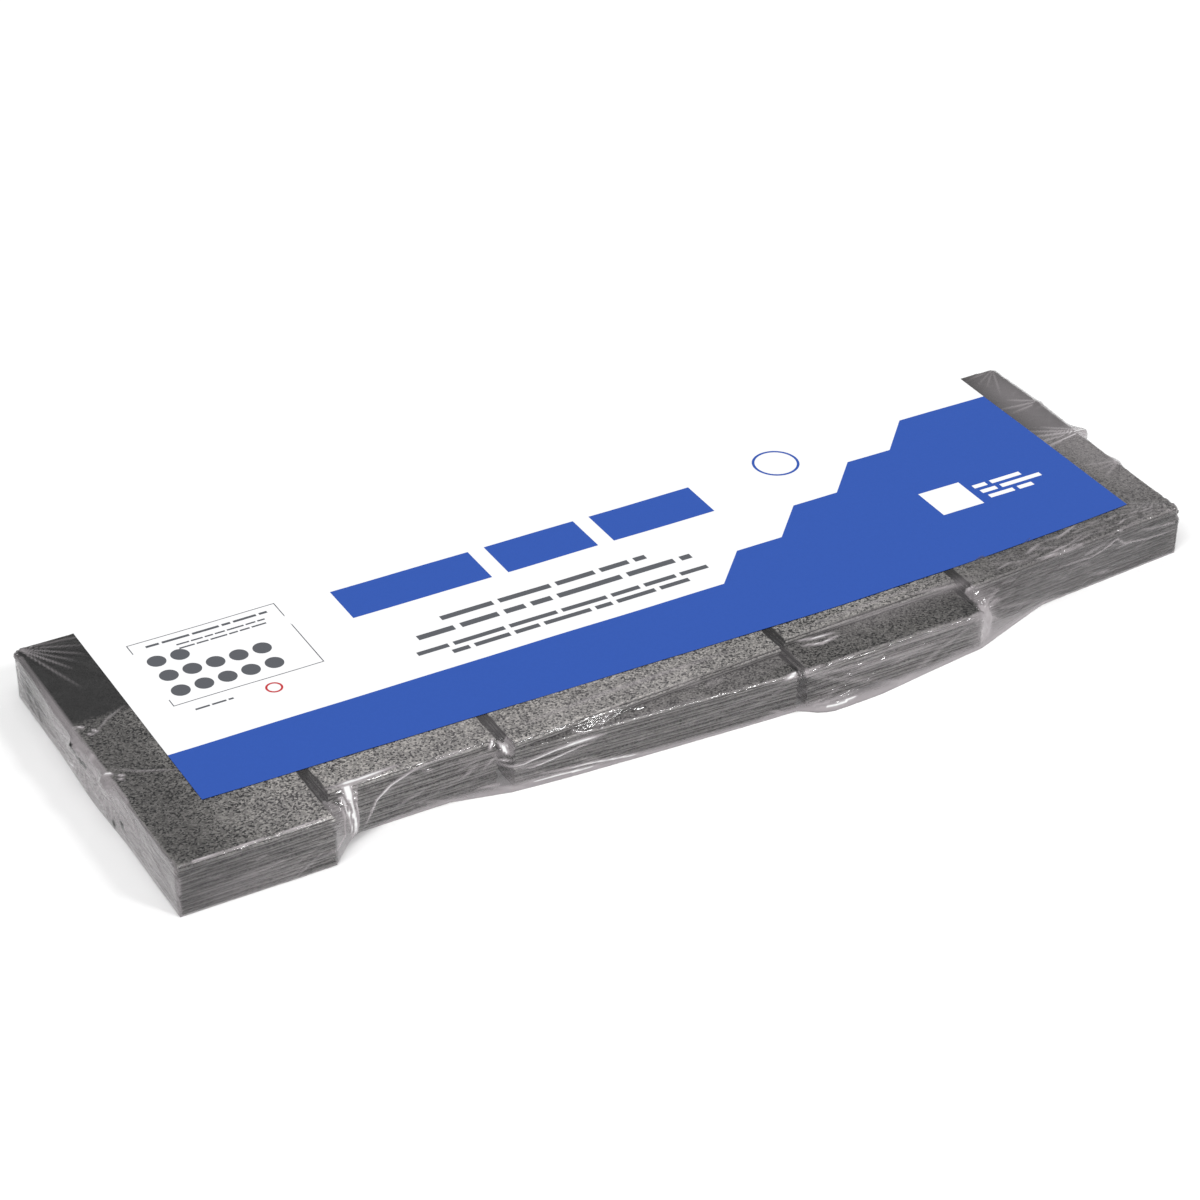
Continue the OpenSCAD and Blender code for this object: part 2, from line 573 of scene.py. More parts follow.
def pull_tight(points, neighbours, pinned, levels, standoff, rounds):
    """Shrinks the film like a stretched skin while the stack holds it out."""
    own = np.arange(len(points))[:, None]
    known = neighbours >= 0
    reach = np.where(known, neighbours, own)
    count = known.sum(axis=1, keepdims=True)
    spare = 6 - count
    fixed = points[pinned].copy()
    for _ in range(rounds):
        mean = (points[reach].sum(axis=1) - spare * points) / count
        points += PULL * (mean - points)
        for level in levels:
            level.push_out(points, standoff)
        points[:, 2] = np.maximum(points[:, 2], 0.0)
        points[pinned] = fixed
    return points


def finer(lattice):
    """A lattice of places with a new one halfway between each pair."""
    for axis in range(3):
        first = np.moveaxis(lattice, axis, 0)
        made = np.empty((2 * len(first) - 1, *first.shape[1:]))
        made[::2] = first
        made[1::2] = (first[:-1] + first[1:]) / 2
        lattice = np.moveaxis(made, 0, axis)
    return lattice


def floor_outline(plan, slack):
    """The film's lowest layer of points, laid out to the floor line."""
    half_x, half_y = STRIP_LENGTH / 2, STRIP_WIDTH / 2
    share_x = np.linspace(0, 1, plan.shape[0])[:, None]
    share_y = np.linspace(0, 1, plan.shape[1])[None, :]
    along_mm, across_mm = share_x * STRIP_LENGTH / MM, share_y * STRIP_WIDTH / MM
    front = across(np.interp(along_mm, *zip(*FRONT_FLOOR_LINE)))
    left = half_x + MM * np.interp(across_mm, *zip(*LEFT_FLOOR_LINE))
    right = half_x + MM * np.interp(across_mm, *zip(*RIGHT_FLOOR_LINE))
    back = half_y + slack
    laid = np.zeros(plan.shape)
    laid[..., 0] = -left * (1 - share_x) + right * share_x
    laid[..., 1] = front * (1 - share_y) + back * share_y
    return laid


def tight_film(settings):
    """Points and faces of the film pulled tight over the stack, without its folds."""
    levels = [Level(STRIPS[0], 0), Level(TOP_STRIP, settings.cover)]
    levels[0].top = ledge_height() + settings.cover
    half_x, half_y = STRIP_LENGTH / 2 + settings.standoff, STRIP_WIDTH / 2 + settings.standoff
    ends = [(-half_x, half_x), (-half_y, half_y), (0.0, levels[1].top)]
    axes = [np.linspace(*end, cells + 1) for end, cells in zip(ends, LATTICE_CELLS)]
    lattice = np.stack(np.meshgrid(*axes, indexing="ij"), axis=-1)
    lattice[:, :, 0] = floor_outline(lattice[:, :, 0], settings.standoff)
    for rounds in PULL_ROUNDS:
        on_film, neighbours, quads = lattice_surface(tuple(n - 1 for n in lattice.shape[:3]))
        pinned = np.zeros(lattice.shape[:3], dtype=bool)
        pinned[:, :, 0] = True
        points = pull_tight(
            lattice[on_film], neighbours, pinned[on_film], levels, settings.standoff, rounds
        )
        lattice[on_film] = points
        if rounds != PULL_ROUNDS[-1]:
            lattice = finer(lattice)
    return points, quads


# A place on the fourth tab, and the set-back there that tells the short cut from the long
FOURTH_TAB = 660
SHORT_CUT = 15


def ledge_height():
    """Height of the ledge where the strips' cut changes from long to short."""
    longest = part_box(STRIPS[0])[0].y + SHORT_CUT * MM
    long_cut = [n for n in STRIPS if tab_front(n, along(FOURTH_TAB)) < longest]
    return max(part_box(n)[1].z for n in long_cut)


def tab_front(node, x):
    """Where a strip's front edge lies at a place along it."""
    outline = outline_of(node)
    found = []
    for (ax, ay), (bx, by) in zip(outline, np.roll(outline, -1, axis=0)):
        if ax < x < bx:
            found.append(ay + (by - ay) * (x - ax) / (bx - ax))
    return min(found)


# Sides of the film, each with the axes that its places are given along, the axis that it
# faces and the way: on the top the places are along and across, on the front and back
# along and up, and on the ends across and up.
SIDES = {
    "top": (0, 1, 2, 1),
    "front": (0, 2, 1, -1),
    "back": (0, 2, 1, 1),
    "left": (1, 2, 0, -1),
    "right": (1, 2, 0, 1),
}

# Folds that fan out from a gathered place: the side, the place, the first and the last
# direction in degrees, how many, their shortest and longest, their width and height, and
# how much hazier the double layer of film is there, or clearer between two folds. The
# haze on a crest is partly painted highlight and turns painted white past a share; the
# clearer lines are painted shade in the creases.
FANS = [
    # the bag's gathered back corner at the left end
    ("top", (1, 335), (-2, -76), 13, (48, 98), 1.25, 0.6, 0.4),
    ("left", (335, 47), (184, 246), 9, (40, 95), 1.8, 1.0, 0.3),
    # the two gathers along the left end
    ("left", (190, 46), (196, 342), 15, (42, 80), 1.5, 1.4, -0.4),
    ("left", (132, 46), (200, 335), 13, (42, 64), 1.5, 1.2, -0.4),
    # the gathers along the right end
    ("top", (1004, 198), (140, 196), 10, (36, 76), 1.8, 0.9, -0.7),
    ("top", (1004, 262), (150, 200), 6, (30, 50), 1.6, 0.7, -0.6),
    ("top", (1000, 138), (160, 215), 5, (22, 38), 1.5, 0.7, -0.4),
    ("right", (200, 46), (200, 335), 9, (44, 62), 1.8, 1.1, 0.2),
    ("right", (138, 46), (210, 320), 6, (36, 52), 1.8, 0.9, 0.2),
    ("top", (998, 334), (184, 254), 9, (34, 60), 1.0, 0.8, 0.25),
    ("top", (996, 54), (148, 190), 11, (40, 200), 1.2, 0.8, -0.5),
    # creases drawn out from the slots along the front, high up and low down
    ("front", (131, 34), (190, 222), 8, (40, 118), 1.8, 0.9, -0.2),
    ("front", (150, 46), (-62, -100), 6, (30, 46), 1.0, 1.0, 0.6),
    ("front", (297, 38), (172, 214), 6, (36, 110), 2.2, 0.8, 0.2),
    ("front", (298, 24), (-12, 12), 4, (60, 130), 2.2, 0.8, 0.2),
    ("front", (568, 34), (168, 206), 7, (40, 150), 2.2, 0.8, 0.2),
    ("front", (568, 34), (-22, 26), 10, (60, 180), 2.2, 0.9, 0.25),
    ("front", (574, 6), (2, 20), 4, (50, 90), 1.8, 1.0, 0.3),
    ("front", (757, 36), (166, 206), 9, (60, 180), 2.4, 0.8, 0.25),
    ("front", (759, 30), (-40, 20), 8, (40, 120), 1.8, 0.8, 0.2),
]
# Single folds: the side, the places that each runs through, width, height and cloudiness;
# the boldest are painted white as highlights, the clearer ones are painted shade
LONE_FOLDS = [
    # the tight edge of the first tab, painted white as a highlight, and painted shade and haze
    # in streaks below it
    ("front", [(1, 48), (20, 48), (44, 48)], 0.8, 0.3, 1.0),
    ("front", [(40, 48), (60, 48), (78, 48)], 0.8, 0.3, 1.0),
    ("front", [(80, 48), (104, 48), (130, 48)], 0.8, 0.3, 1.0),
    ("front", [(128, 31), (84, 20), (33, 6)], 1.6, 0.8, -0.25),
    ("front", [(129, 24), (92, 0)], 1.2, 0.8, 0.3),
    ("front", [(102, 26), (47, 17)], 1.2, 0.8, 0.25),
    # the web over the first slot: its star, its stems and the crease that ends it, their
    # highlights painted white
    ("top", [(140, 35), (156, 33), (180, 34), (210, 36)], 2.4, 0.6, 1.0),
    ("front", [(156, 60), (158, 40), (158, 18), (156, 3)], 1.8, 1.2, 1.0),
    ("front", [(168, 50), (162, 34), (161, 16), (158, 2)], 1.0, 1.0, 0.9),
    ("front", [(148, 46), (153, 30), (154, 12), (154, 2)], 0.8, 1.0, 0.8),
    ("front", [(238, 47), (216, 44), (196, 38), (181, 30), (170, 14), (163, 0)], 1.0, 1.2, 0.9),
    ("front", [(276, 47), (255, 47), (232, 46), (214, 43)], 0.9, 0.8, 0.5),
    # glints over the second slot
    ("front", [(290, 50), (284, 41)], 1.5, 1.0, 1.0),
    ("front", [(293, 46), (298, 37)], 1.9, 1.0, 1.0),
    ("front", [(288, 34), (301, 31)], 0.9, 1.0, 0.9),
    # the pocket on the third tab, its crease highlights painted white
    ("front", [(284, 34), (290, 30), (298, 26), (310, 26), (342, 31.5), (384, 34)], 1.1, 1.5, 1.0),
    ("front", [(332, 30), (354, 32), (386, 33)], 2.0, 1.0, 1.0),
    ("front", [(300, 23), (318, 20), (347, 25), (376, 29)], 0.9, 1.2, 1.0),
    ("front", [(322, 11), (344, 10), (368, 9), (424, 3)], 1.1, 1.4, 1.0),
    ("front", [(312, 5), (342, 6), (380, 4)], 1.0, 1.2, 0.9),
    # the third slot, its glints painted white as highlights
    ("front", [(548, 36), (570, 40)], 1.7, 1.0, 1.0),
    ("front", [(562, 40), (569, 49)], 1.3, 1.0, 1.0),
    ("front", [(578, 3), (596, 4), (618, 6)], 1.0, 1.2, 1.0),
    ("front", [(571, 31), (588, 41), (612, 46), (650, 47)], 1.4, 0.9, -0.2),
    ("top", [(582, 28), (602, 24), (622, 27)], 1.1, 0.8, 1.0),
    ("top", [(580, 34), (600, 31), (620, 31)], 1.1, 0.8, 1.0),
    # the top edges of the long strips
    ("front", [(330, 38), (420, 38.5), (560, 39)], 1.2, 0.4, 0.15),
    ("front", [(756, 46), (752, 30), (764, 14), (757, 1)], 1.6, 1.0, 0.2),
    ("front", [(766, 40), (770, 24), (764, 6)], 1.4, 1.0, 0.3),
    ("top", [(700, 46), (730, 42), (758, 38)], 1.6, 0.6, 0.35),
    # the welded seam on the fifth tab
    (
        "front", [(852, 35), (895, 32), (910, 35), (926, 41), (935, 33), (963, 28), (1004, 26)],
        0.9, 1.2, 0.6,
    ),
    # wide clear folds on the fifth tab, painted shade in their creases
    ("front", [(770, 46), (798, 37), (844, 14), (930, 3)], 3.2, 1.2, -0.5),
    ("front", [(764, 32), (784, 21), (826, 0)], 3.2, 1.2, -0.5),
    ("front", [(800, 46), (870, 26), (950, 12)], 2.4, 1.0, -0.4),
    ("front", [(762, 47), (840, 45), (1000, 43)], 2.2, 0.8, -0.5),
    # bands along the long strips' top
    ("top", [(590, 45), (660, 49), (745, 54)], 2.2, 0.5, 0.3),
    ("top", [(596, 37), (680, 38), (744, 37)], 2.4, 0.5, 0.25),
    ("top", [(310, 36), (400, 43), (540, 46)], 2.2, 0.5, 0.3),
    ("front", [(574, 22), (650, 27), (740, 24)], 2.2, 1.0, 0.25),
    ("front", [(580, 34), (660, 37), (748, 35)], 1.6, 1.0, -0.15),
    # glints and streaks at the left end's gathers
    ("top", [(1, 208), (8, 203)], 1.4, 0.8, 1.0),
    ("top", [(11, 199), (15, 192)], 1.4, 0.8, 1.0),
    ("top", [(5, 195), (11, 191)], 1.2, 0.8, 0.9),
    ("top", [(0, 139), (3, 132)], 1.3, 0.8, 1.0),
    ("top", [(5, 131), (11, 127)], 1.4, 0.8, 1.0),
    ("top", [(3, 126), (9, 123)], 1.2, 0.8, 0.9),
    ("top", [(10, 190), (28, 206), (50, 218)], 1.1, 0.8, 0.35),
    ("top", [(3, 142), (22, 128), (54, 113)], 1.1, 0.8, 0.45),
]
# Swellings of the film: the side, the middle, the half-widths and the height, in mm
SWELLINGS = [
    ("left", (215, 44), (75, 18), 4.0),
    ("left", (192, 44), (8, 10), 3.0),
    ("left", (134, 42), (8, 10), 3.5),
    ("right", (262, 36), (66, 30), 4.5),
    ("right", (203, 42), (9, 14), 9.5),
    ("right", (142, 43), (8, 10), 4.5),
]
# Cloudier or clearer places: the side, the middle, the half-widths and the share
CLOUDS = [
    ("left", (168, 24), (300, 70), 0.5),
    ("left", (300, 26), (35, 24), -0.35),
    ("right", (190, 24), (300, 70), 0.45),
    ("front", (762, 22), (15, 26), 0.42),
    ("front", (790, 4), (30, 9), 0.4),
    ("front", (880, 24), (130, 60), 0.14),
    ("front", (660, 24), (90, 60), 0.12),
    ("right", (203, 42), (12, 16), 0.3),
    ("right", (142, 43), (10, 12), 0.3),
    ("top", (1004, 202), (7, 12), 0.5),
    ("top", (1002, 142), (6, 9), 0.4),
    ("front", (300, 8), (40, 10), 0.3),
    ("front", (60, 12), (60, 18), 0.2),
    ("top", (985, 200), (30, 130), 0.26),
    ("top", (985, 300), (24, 50), 0.14),
    ("top", (112, 30), (42, 34), 0.08),
    ("top", (250, 48), (90, 30), 0.1),
    ("top", (420, 42), (110, 26), 0.12),
    ("top", (880, 50), (110, 14), 0.08),
    ("top", (664, 32), (60, 9), 0.12),
    ("top", (745, 40), (26, 7), 0.22),
]
# Painted highlight: the star over the first slot, where the film is painted white
PAINTED_STAR_HIGHLIGHT = [("front", (158, 44), (4, 8), 1.2), ("top", (162, 34), (9, 2.6), 1.2)]
# Painted shade where the gathered film stands open: black is painted on the film for the
# dark inside; side, middle, half-widths
PAINTED_HOLE_SHADE = [
    ("left", (194, 40), (6, 5)),
    ("left", (181, 33), (9, 3)),
    ("left", (108, 18), (5, 4)),
    ("left", (127, 6), (4, 3)),
]


# How far from its hub a fanned fold begins, in mm
HUB_GAP = 3
# Small chance folds: side, count, places along it, places up or across it, spread of their
# slant in degrees, their shortest and longest, height and spread of cloudiness: partly haze,
# partly painted highlight and painted shade on the crinkles
CHANCE_FOLDS = [
    ("front", 150, (10, 985), (4, 44), 14, (12, 45), 0.5, 0.2),
    ("back", 70, (10, 985), (4, 44), 20, (15, 60), 0.6, 0.2),
    ("top", 160, (780, 990), (36, 62), 14, (12, 40), 0.9, 0.3),
    ("front", 60, (770, 990), (26, 46), 14, (12, 40), 0.6, 0.3),
    ("top", 50, (966, 992), (60, 330), 30, (8, 26), 0.35, 0.06),
    ("left", 60, (20, 320), (3, 40), 25, (14, 50), 0.9, 0.3),
]


def film_folds(rng):
    """Every fold: side, route, width, height, cloudiness, which also carries painted highlight
    and painted shade, and whether it fades from a hub.
    """
    folds = []
    for side, hub, (first, last), count, (short, longest), width, height, haze_and_painted_light_share in FANS:
        for i in range(count):
            share = (i + rng.uniform(-0.3, 0.3)) / max(1, count - 1)
            angle = math.radians(first + (last - first) * share)
            reach = rng.uniform(short, longest)
            way = (math.cos(angle), math.sin(angle))
            ends = [(hub[0] + d * way[0], hub[1] + d * way[1]) for d in (HUB_GAP, reach)]
            own_haze_and_painted_light = haze_and_painted_light_share * (1 if i % 2 else -0.7) * rng.uniform(0.6, 1.3)
            tall = height * rng.uniform(0.6, 1.2)
            folds.append((side, ends, width, tall, own_haze_and_painted_light, True))
    folds += [(*fold, False) for fold in LONE_FOLDS]
    for row in CHANCE_FOLDS:
        folds += chance_folds(rng, *row)
    return folds


def chance_folds(rng, side, count, us, vs, turn, reaches, height, spread):
    """Small folds scattered over part of a side, all roughly level."""
    folds = []
    for _ in range(count):
        u, v = rng.uniform(*us), rng.uniform(*vs)
        slant, reach = math.radians(rng.normal(0, turn)), rng.uniform(*reaches)
        end = (u + reach * math.cos(slant), v + reach * math.sin(slant))
        tall = height * rng.uniform(0.5, 1.3)
        haze_and_painted_light_share = rng.normal(0.0, spread)
        folds.append((side, [(u, v), end], rng.uniform(0.9, 1.8), tall, haze_and_painted_light_share, False))
    return folds


def side_places(points, normals, skip):
    """For each side: the points that face its way, and their places on it in mm."""
    places = np.column_stack(
        [(points[:, 0] - LEFT_END) / MM, (points[:, 1] - FRONT_EDGE) / MM, points[:, 2] / MM]
    )
    found = {}
    for side, (u, v, facing, sign) in SIDES.items():
        chosen = np.nonzero((normals[:, facing] * sign > 0.4) & ~skip)[0]
        found[side] = (chosen, places[chosen, u], places[chosen, v])
    return found


def fold_lift(found, total, folds):
    """How far each point moves out for all the folds, in mm, and how hazy that makes it; the
    haze carries painted highlights on the crests and painted shade along clearer lines.
    Where two folds cross, the higher counts in full and the lower in part."""
    lift, haze_and_painted_light = np.zeros(total), np.zeros(total)
    for side, route, width, height, haze_and_painted_light_share, from_hub in folds:
        chosen, pu, pv = found[side]
        whole = sum(math.dist(a, b) for a, b in zip(route, route[1:]))
        done = 0.0
        for (au, av), (bu, bv) in zip(route, route[1:]):
            du, dv = bu - au, bv - av
            reach = math.hypot(du, dv)
            near = np.clip(((pu - au) * du + (pv - av) * dv) / reach**2, 0, 1)
            gap = np.hypot(pu - au - near * du, pv - av - near * dv)
            close = gap < 3 * width
            share = (done + near[close] * reach) / whole
            full = np.cos(share * math.pi / 2) if from_hub else np.sin(share * math.pi)
            full = np.maximum(full, 0.0) ** 0.6
            ridge = full * np.exp(-((gap[close] / (width * (0.5 + 0.5 * full))) ** 2))
            there = chosen[close]
            before = lift[there]
            rise, crest_haze_and_painted_light = height * ridge, haze_and_painted_light_share * ridge
            lift[there] = np.maximum(before, rise) + 0.3 * np.minimum(before, rise)
            stronger = np.abs(crest_haze_and_painted_light) > np.abs(haze_and_painted_light[there])
            haze_and_painted_light[there] = np.where(stronger, crest_haze_and_painted_light, haze_and_painted_light[there])
            done += reach
    return lift, haze_and_painted_light


def side_patches(found, total, patches, normals=None):
    """Adds up soft round patches over the sides; with normals, as moves straight out."""
    amount = np.zeros(total if normals is None else (total, 3))
    for side, (cu, cv), (ru, rv), height in patches:
        chosen, pu, pv = found[side]
        bump = height * np.exp(-(((pu - cu) / ru) ** 2) - ((pv - cv) / rv) ** 2)
        if normals is None:
            amount[chosen] += bump
        else:
            _, _, facing, sign = SIDES[side]
            leaning = np.clip(1.6 * sign * normals[chosen, facing] - 0.2, 0, 1)
            amount[chosen, facing] += sign * bump * leaning
    return amount


def waves(points, rng, length, count):
    """Gentle unevenness made of a few slanting waves of about the given length."""
    total = np.zeros(len(points))
    for _ in range(count):
        way = rng.normal(size=3)
        way /= np.linalg.norm(way)
        pitch = length * rng.uniform(0.6, 1.6)
        total += np.sin(points @ way * (2 * math.pi / pitch) + rng.uniform(0, 2 * math.pi))
    return total / math.sqrt(count)


# How far inside the printed sheet's edges the film under it is made plain
UNDER_SHEET = 8 * MM
# Length and number of the waves that make the film's sides uneven
WAVE_LENGTH, WAVE_COUNT = 38 * MM, 12
# Height above the floor over which the folds fade out
FLOOR_FADE = 4 * MM
# Cloudiness of gathered film at the most, and from where a fold may pass it into the
# painted white highlight
GATHER_LIMIT, PAINTED_HIGHLIGHT_FROM = 0.7, 0.42


def film_piece(settings, material):
    """The bag of shrink film: pulled tight, then folded, with a flat closed underside."""
    rng = np.random.default_rng(11)
    points, quads = tight_film(settings)
    piece = mesh_object("shrink_film_wrap", points, quads, [material], smooth=True)
    mesh = piece.data
    normals = np.empty(len(points) * 3)
    mesh.vertex_normals.foreach_get("vector", normals)
    normals = normals.reshape(-1, 3)
    found = side_places(points, normals, sheet_cover(points) > UNDER_SHEET)
    folds, fold_haze_and_painted_light = fold_lift(found, len(points), film_folds(rng))
    on_side = np.clip(1.2 - 1.6 * np.abs(normals[:, 2]), 0, 1)
    unevenness = 0.3 + 0.25 * waves(points, rng, WAVE_LENGTH, WAVE_COUNT)
    lift = (folds + on_side * unevenness) * MM
    above_floor = np.clip(points[:, 2] / FLOOR_FADE, 0, 1)[:, None]
    swelling = side_patches(found, len(points), SWELLINGS, normals) * MM
    moved = points + (normals * lift[:, None] + swelling) * above_floor
    moved[:, 2] = np.maximum(moved[:, 2], 0.0)
    covered = sheet_cover(moved)
    flat_top = STACK_TOP + settings.cover
    moved[covered > 0, 2] = np.minimum(moved[covered > 0, 2], flat_top)
    mesh.vertices.foreach_set("co", moved.ravel())
    haze_and_painted_light = np.maximum(side_patches(found, len(points), CLOUDS), skirt_haze(points, normals))
    layer = mesh.attributes.new("film_haze_and_painted_light", "FLOAT", "POINT")
    # only the boldest folds and the star are whiter than the gathered film itself: there the
    # white is a painted highlight
    fold_haze_and_painted_light = np.maximum(fold_haze_and_painted_light, side_patches(found, len(points), PAINTED_STAR_HIGHLIGHT))
    limit = np.where(fold_haze_and_painted_light > PAINTED_HIGHLIGHT_FROM, 1.0, GATHER_LIMIT)
    haze_and_painted_light = np.clip(np.clip(haze_and_painted_light, 0, GATHER_LIMIT) + fold_haze_and_painted_light, 0, limit)
    # painted shade: where gathered film stands open it is marked below nothing, and tinted black
    painted_hole_shade_there = side_patches(found, len(points), [(*hole, 1.4) for hole in PAINTED_HOLE_SHADE])
    haze_and_painted_light = np.where(painted_hole_shade_there > 0.5, -np.minimum(painted_hole_shade_there, 1), haze_and_painted_light)
    layer.data.foreach_set("value", haze_and_painted_light.astype(np.float32))
    close_underside(mesh, covered > UNDER_SHEET)
    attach(piece, "root")
    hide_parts("shrink_film")
    return piece


# Strip along the sheet's front that isn't counted as covered, as that edge is bowed
FRONT_MARGIN = 10 * MM


def sheet_cover(points):
    """How far each point of the film's top lies inside the printed sheet's edges."""
    x, y, z = points.T
    ends = np.minimum(x - SHEET_LOW.x, SHEET_HIGH.x - x)
    inside = np.minimum(ends, y - SHEET_LOW.y - FRONT_MARGIN)
    inside = np.minimum(inside, SHEET_HIGH.y - y)
    return np.where(z > STACK_TOP - 1 * MM, inside, -1.0)


# Height of the cloudy skirt of film along the front: places along and heights, in mm
SKIRT = [(160, 3), (230, 10), (300, 12), (520, 6), (590, 14), (700, 10), (800, 12), (880, 3)]


def skirt_haze(points, normals):
    """Share of gathered, hazy film low along the front."""
    x = (points[:, 0] - LEFT_END) / MM
    z = points[:, 2] / MM
    depth = np.interp(x, *zip(*SKIRT))
    skirt = np.maximum(0.08, 0.62 * np.clip(1.4 * (1 - z / depth), 0, 1))
    return np.where(normals[:, 1] < -0.3, skirt, 0)


def close_underside(mesh, hidden):
    """Makes one flat face of the film under the sheet, and one of its open underside."""
    work = bmesh.new()
    work.from_mesh(mesh)
    work.faces.ensure_lookup_table()
    covered = [face for face in work.faces if all(hidden[v.index] for v in face.verts)]
    bmesh.ops.delete(work, geom=covered, context="FACES")
    rim = [edge for edge in work.edges if edge.is_boundary]
    low = [edge for edge in rim if edge.verts[0].co.z < STRIP_PITCH]
    high = [edge for edge in rim if edge.verts[0].co.z > STRIP_PITCH]
    for edges in (low, high):
        bmesh.ops.contextual_create(work, geom=edges)
    bmesh.ops.recalc_face_normals(work, faces=work.faces)
    work.to_mesh(mesh)
    work.free()


def film_material(settings):
    """Clear polyethylene shrink film: mostly see-through, with a thin haze and a hard wet
    gloss that catches the light along its folds. Painted white highlights draw the boldest
    lines along its folds, and painted black shade marks where gathered film stands open."""
    material, tree = new_material("Clear polyethylene film")
    place = add_node(tree, "TexCoord").outputs["Object"]
    # long ripples left by the heat gun: 35 mm along the sides, 6 mm up them
    drawn = add_node(tree, "VectorMath", "MULTIPLY", i0=place, i1=(28.0, 28.0, 160.0))
    ripple = add_node(tree, "TexNoise", Vector=drawn, Scale=1.0, Detail=3.0, Distortion=0.8)
    # fine puckers, 4 mm
    pucker = add_node(tree, "TexNoise", Vector=place, Scale=250.0, Detail=2.0)
    height = add_node(
        tree, "Math", "MULTIPLY_ADD", i0=pucker.outputs["Fac"], i1=0.12, i2=ripple.outputs["Fac"]
    )
    bump = add_node(tree, "Bump", Strength=1.0, Distance=1.6 * MM, Height=height)
    film_haze_and_painted_light = add_node(tree, "Attribute", {"attribute_name": "film_haze_and_painted_light"})
    # below nothing it marks gathered film that stands open, with painted shade for the dark
    # inside
    amount = add_node(tree, "Math", "ABSOLUTE", i0=film_haze_and_painted_light.outputs["Fac"])
    sort = add_node(tree, "MapRange", Value=film_haze_and_painted_light.outputs["Fac"], From_Min=-1.0)
    tint = add_node(tree, "ValToRGB", Fac=sort)
    # tint: painted black shade in open gathered film, grey haze, painted white highlight on bold folds
    grey_veil, painted_highlight_white = tuple(settings.haze), (0.92, 0.92, 0.92)
    set_ramp(tint, [(0.45, (0.0,) * 3), (0.5, grey_veil), (0.86, grey_veil), (0.96, painted_highlight_white)])
    haze_and_painted_light = add_node(
        tree,
        "Math",
        {"operation": "MULTIPLY_ADD", "use_clamp": True},
        i0=amount,
        i1=settings.gathered_haze,
        i2=settings.clear_haze,
    )
    clear = add_node(tree, "BsdfTransparent", Color=(0.97, 0.97, 0.97, 1.0))
    veil_and_painted_light = add_node(tree, "BsdfDiffuse", Color=tint, Normal=bump)
    body = add_node(tree, "MixShader", i0=haze_and_painted_light, i1=clear, i2=veil_and_painted_light)
    gloss = add_node(tree, "BsdfAnisotropic", Color=(1.0, 1.0, 1.0, 1.0), Roughness=0.1, Normal=bump)
    mirror = add_node(tree, "Fresnel", IOR=1.5, Normal=bump)
    shine = add_node(tree, "MixShader", i0=mirror, i1=body, i2=gloss)
    show(tree, shine)
    return material


# Printed sheet


def sheet_front(settings, x):
    """The sheet's front edge at a place along it: it draws back towards both ends."""
    middle = along(settings.front_middle / MM)
    if x < middle:
        return SHEET_LOW.y + settings.left_draw * (middle - x) / (middle - SHEET_LOW.x)
    return SHEET_LOW.y + settings.right_draw * ((x - middle) / (SHEET_HIGH.x - middle)) ** 2


def blue_edge(settings, x):
    """Where the blue area ends and the white begins, at a place along the sheet."""
    band = SHEET_LOW.y + settings.band
    past = x - along(settings.stair_start / MM)
    if past <= 0:
        return band
    pitch = settings.stair_run + settings.stair_flat
    steps = min(int(past // pitch), settings.stair_count)
    if steps == settings.stair_count:
        return band + settings.stair_count * settings.stair_rise
    share = min(1.0, (past - steps * pitch) / settings.stair_run)
    return band + (steps + share) * settings.stair_rise


def sheet_lines(settings):
    """Places along the sheet at which its mesh has a line, the stair's corners among them."""
    start = along(settings.stair_start / MM)
    pitch = settings.stair_run + settings.stair_flat
    corners = [SHEET_LOW.x, start]
    for step in range(settings.stair_count):
        corners += [start + step * pitch, start + step * pitch + settings.stair_run]
    corners = sorted({*corners, SHEET_HIGH.x})
    spacing = 5 * MM
    xs = []
    for a, b in zip(corners, corners[1:]):
        count = max(1, math.ceil((b - a) / spacing))
        xs += [a + (b - a) * i / count for i in range(count)]
    return xs + [SHEET_HIGH.x]


# Thickness of the laid sheet, how far its top lies over the flat one, and its swell
SHEET_THICKNESS, SHEET_RISE, SHEET_SWELL = 0.15 * MM, 0.6 * MM, 0.18 * MM
# Angle from which an edge of the sheet is shaded as sharp
SHARP_ANGLE = math.radians(40)


def sheet_height(x, y):
    """Height of the sheet's upper face: flat but for a slight swell."""
    swell = math.sin(x * 21 + 1.0) * math.sin(y * 30 + x * 8) + 0.6 * math.sin(x * 47 + y * 19)
    return SHEET_HIGH.z + SHEET_RISE + SHEET_SWELL * swell


def sheet_piece(settings, blue, white):
    """The printed sheet: a blue and a white area that share one mesh."""
    xs = sheet_lines(settings)
    blue_rows, white_rows = 18, 40
    points, faces, slots = [], [], []
    rows = blue_rows + white_rows
    for x in xs:
        front, edge, back = sheet_front(settings, x), blue_edge(settings, x), SHEET_HIGH.y
        ys = list(np.linspace(front, edge, blue_rows + 1))
        ys += list(np.linspace(edge, back, white_rows + 1)[1:])
        points += [(x, y, sheet_height(x, y)) for y in ys]
    for i in range(len(xs) - 1):
        for j in range(rows):
            a = i * (rows + 1) + j
            faces.append((a, a + rows + 1, a + rows + 2, a + 1))
            slots.append(0 if j < blue_rows else 1)
    piece = mesh_object("printed_sheet_laid", points, faces, [blue, white], slots, smooth=True)
    thickness = piece.modifiers.new("thickness", "SOLIDIFY")
    thickness.thickness = SHEET_THICKNESS
    thickness.offset = -1.0
    apply_modifiers(piece)
    piece.data.set_sharp_from_angle(angle=SHARP_ANGLE)
    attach(piece, "root")
    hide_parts("printed_sheet")
    return piece


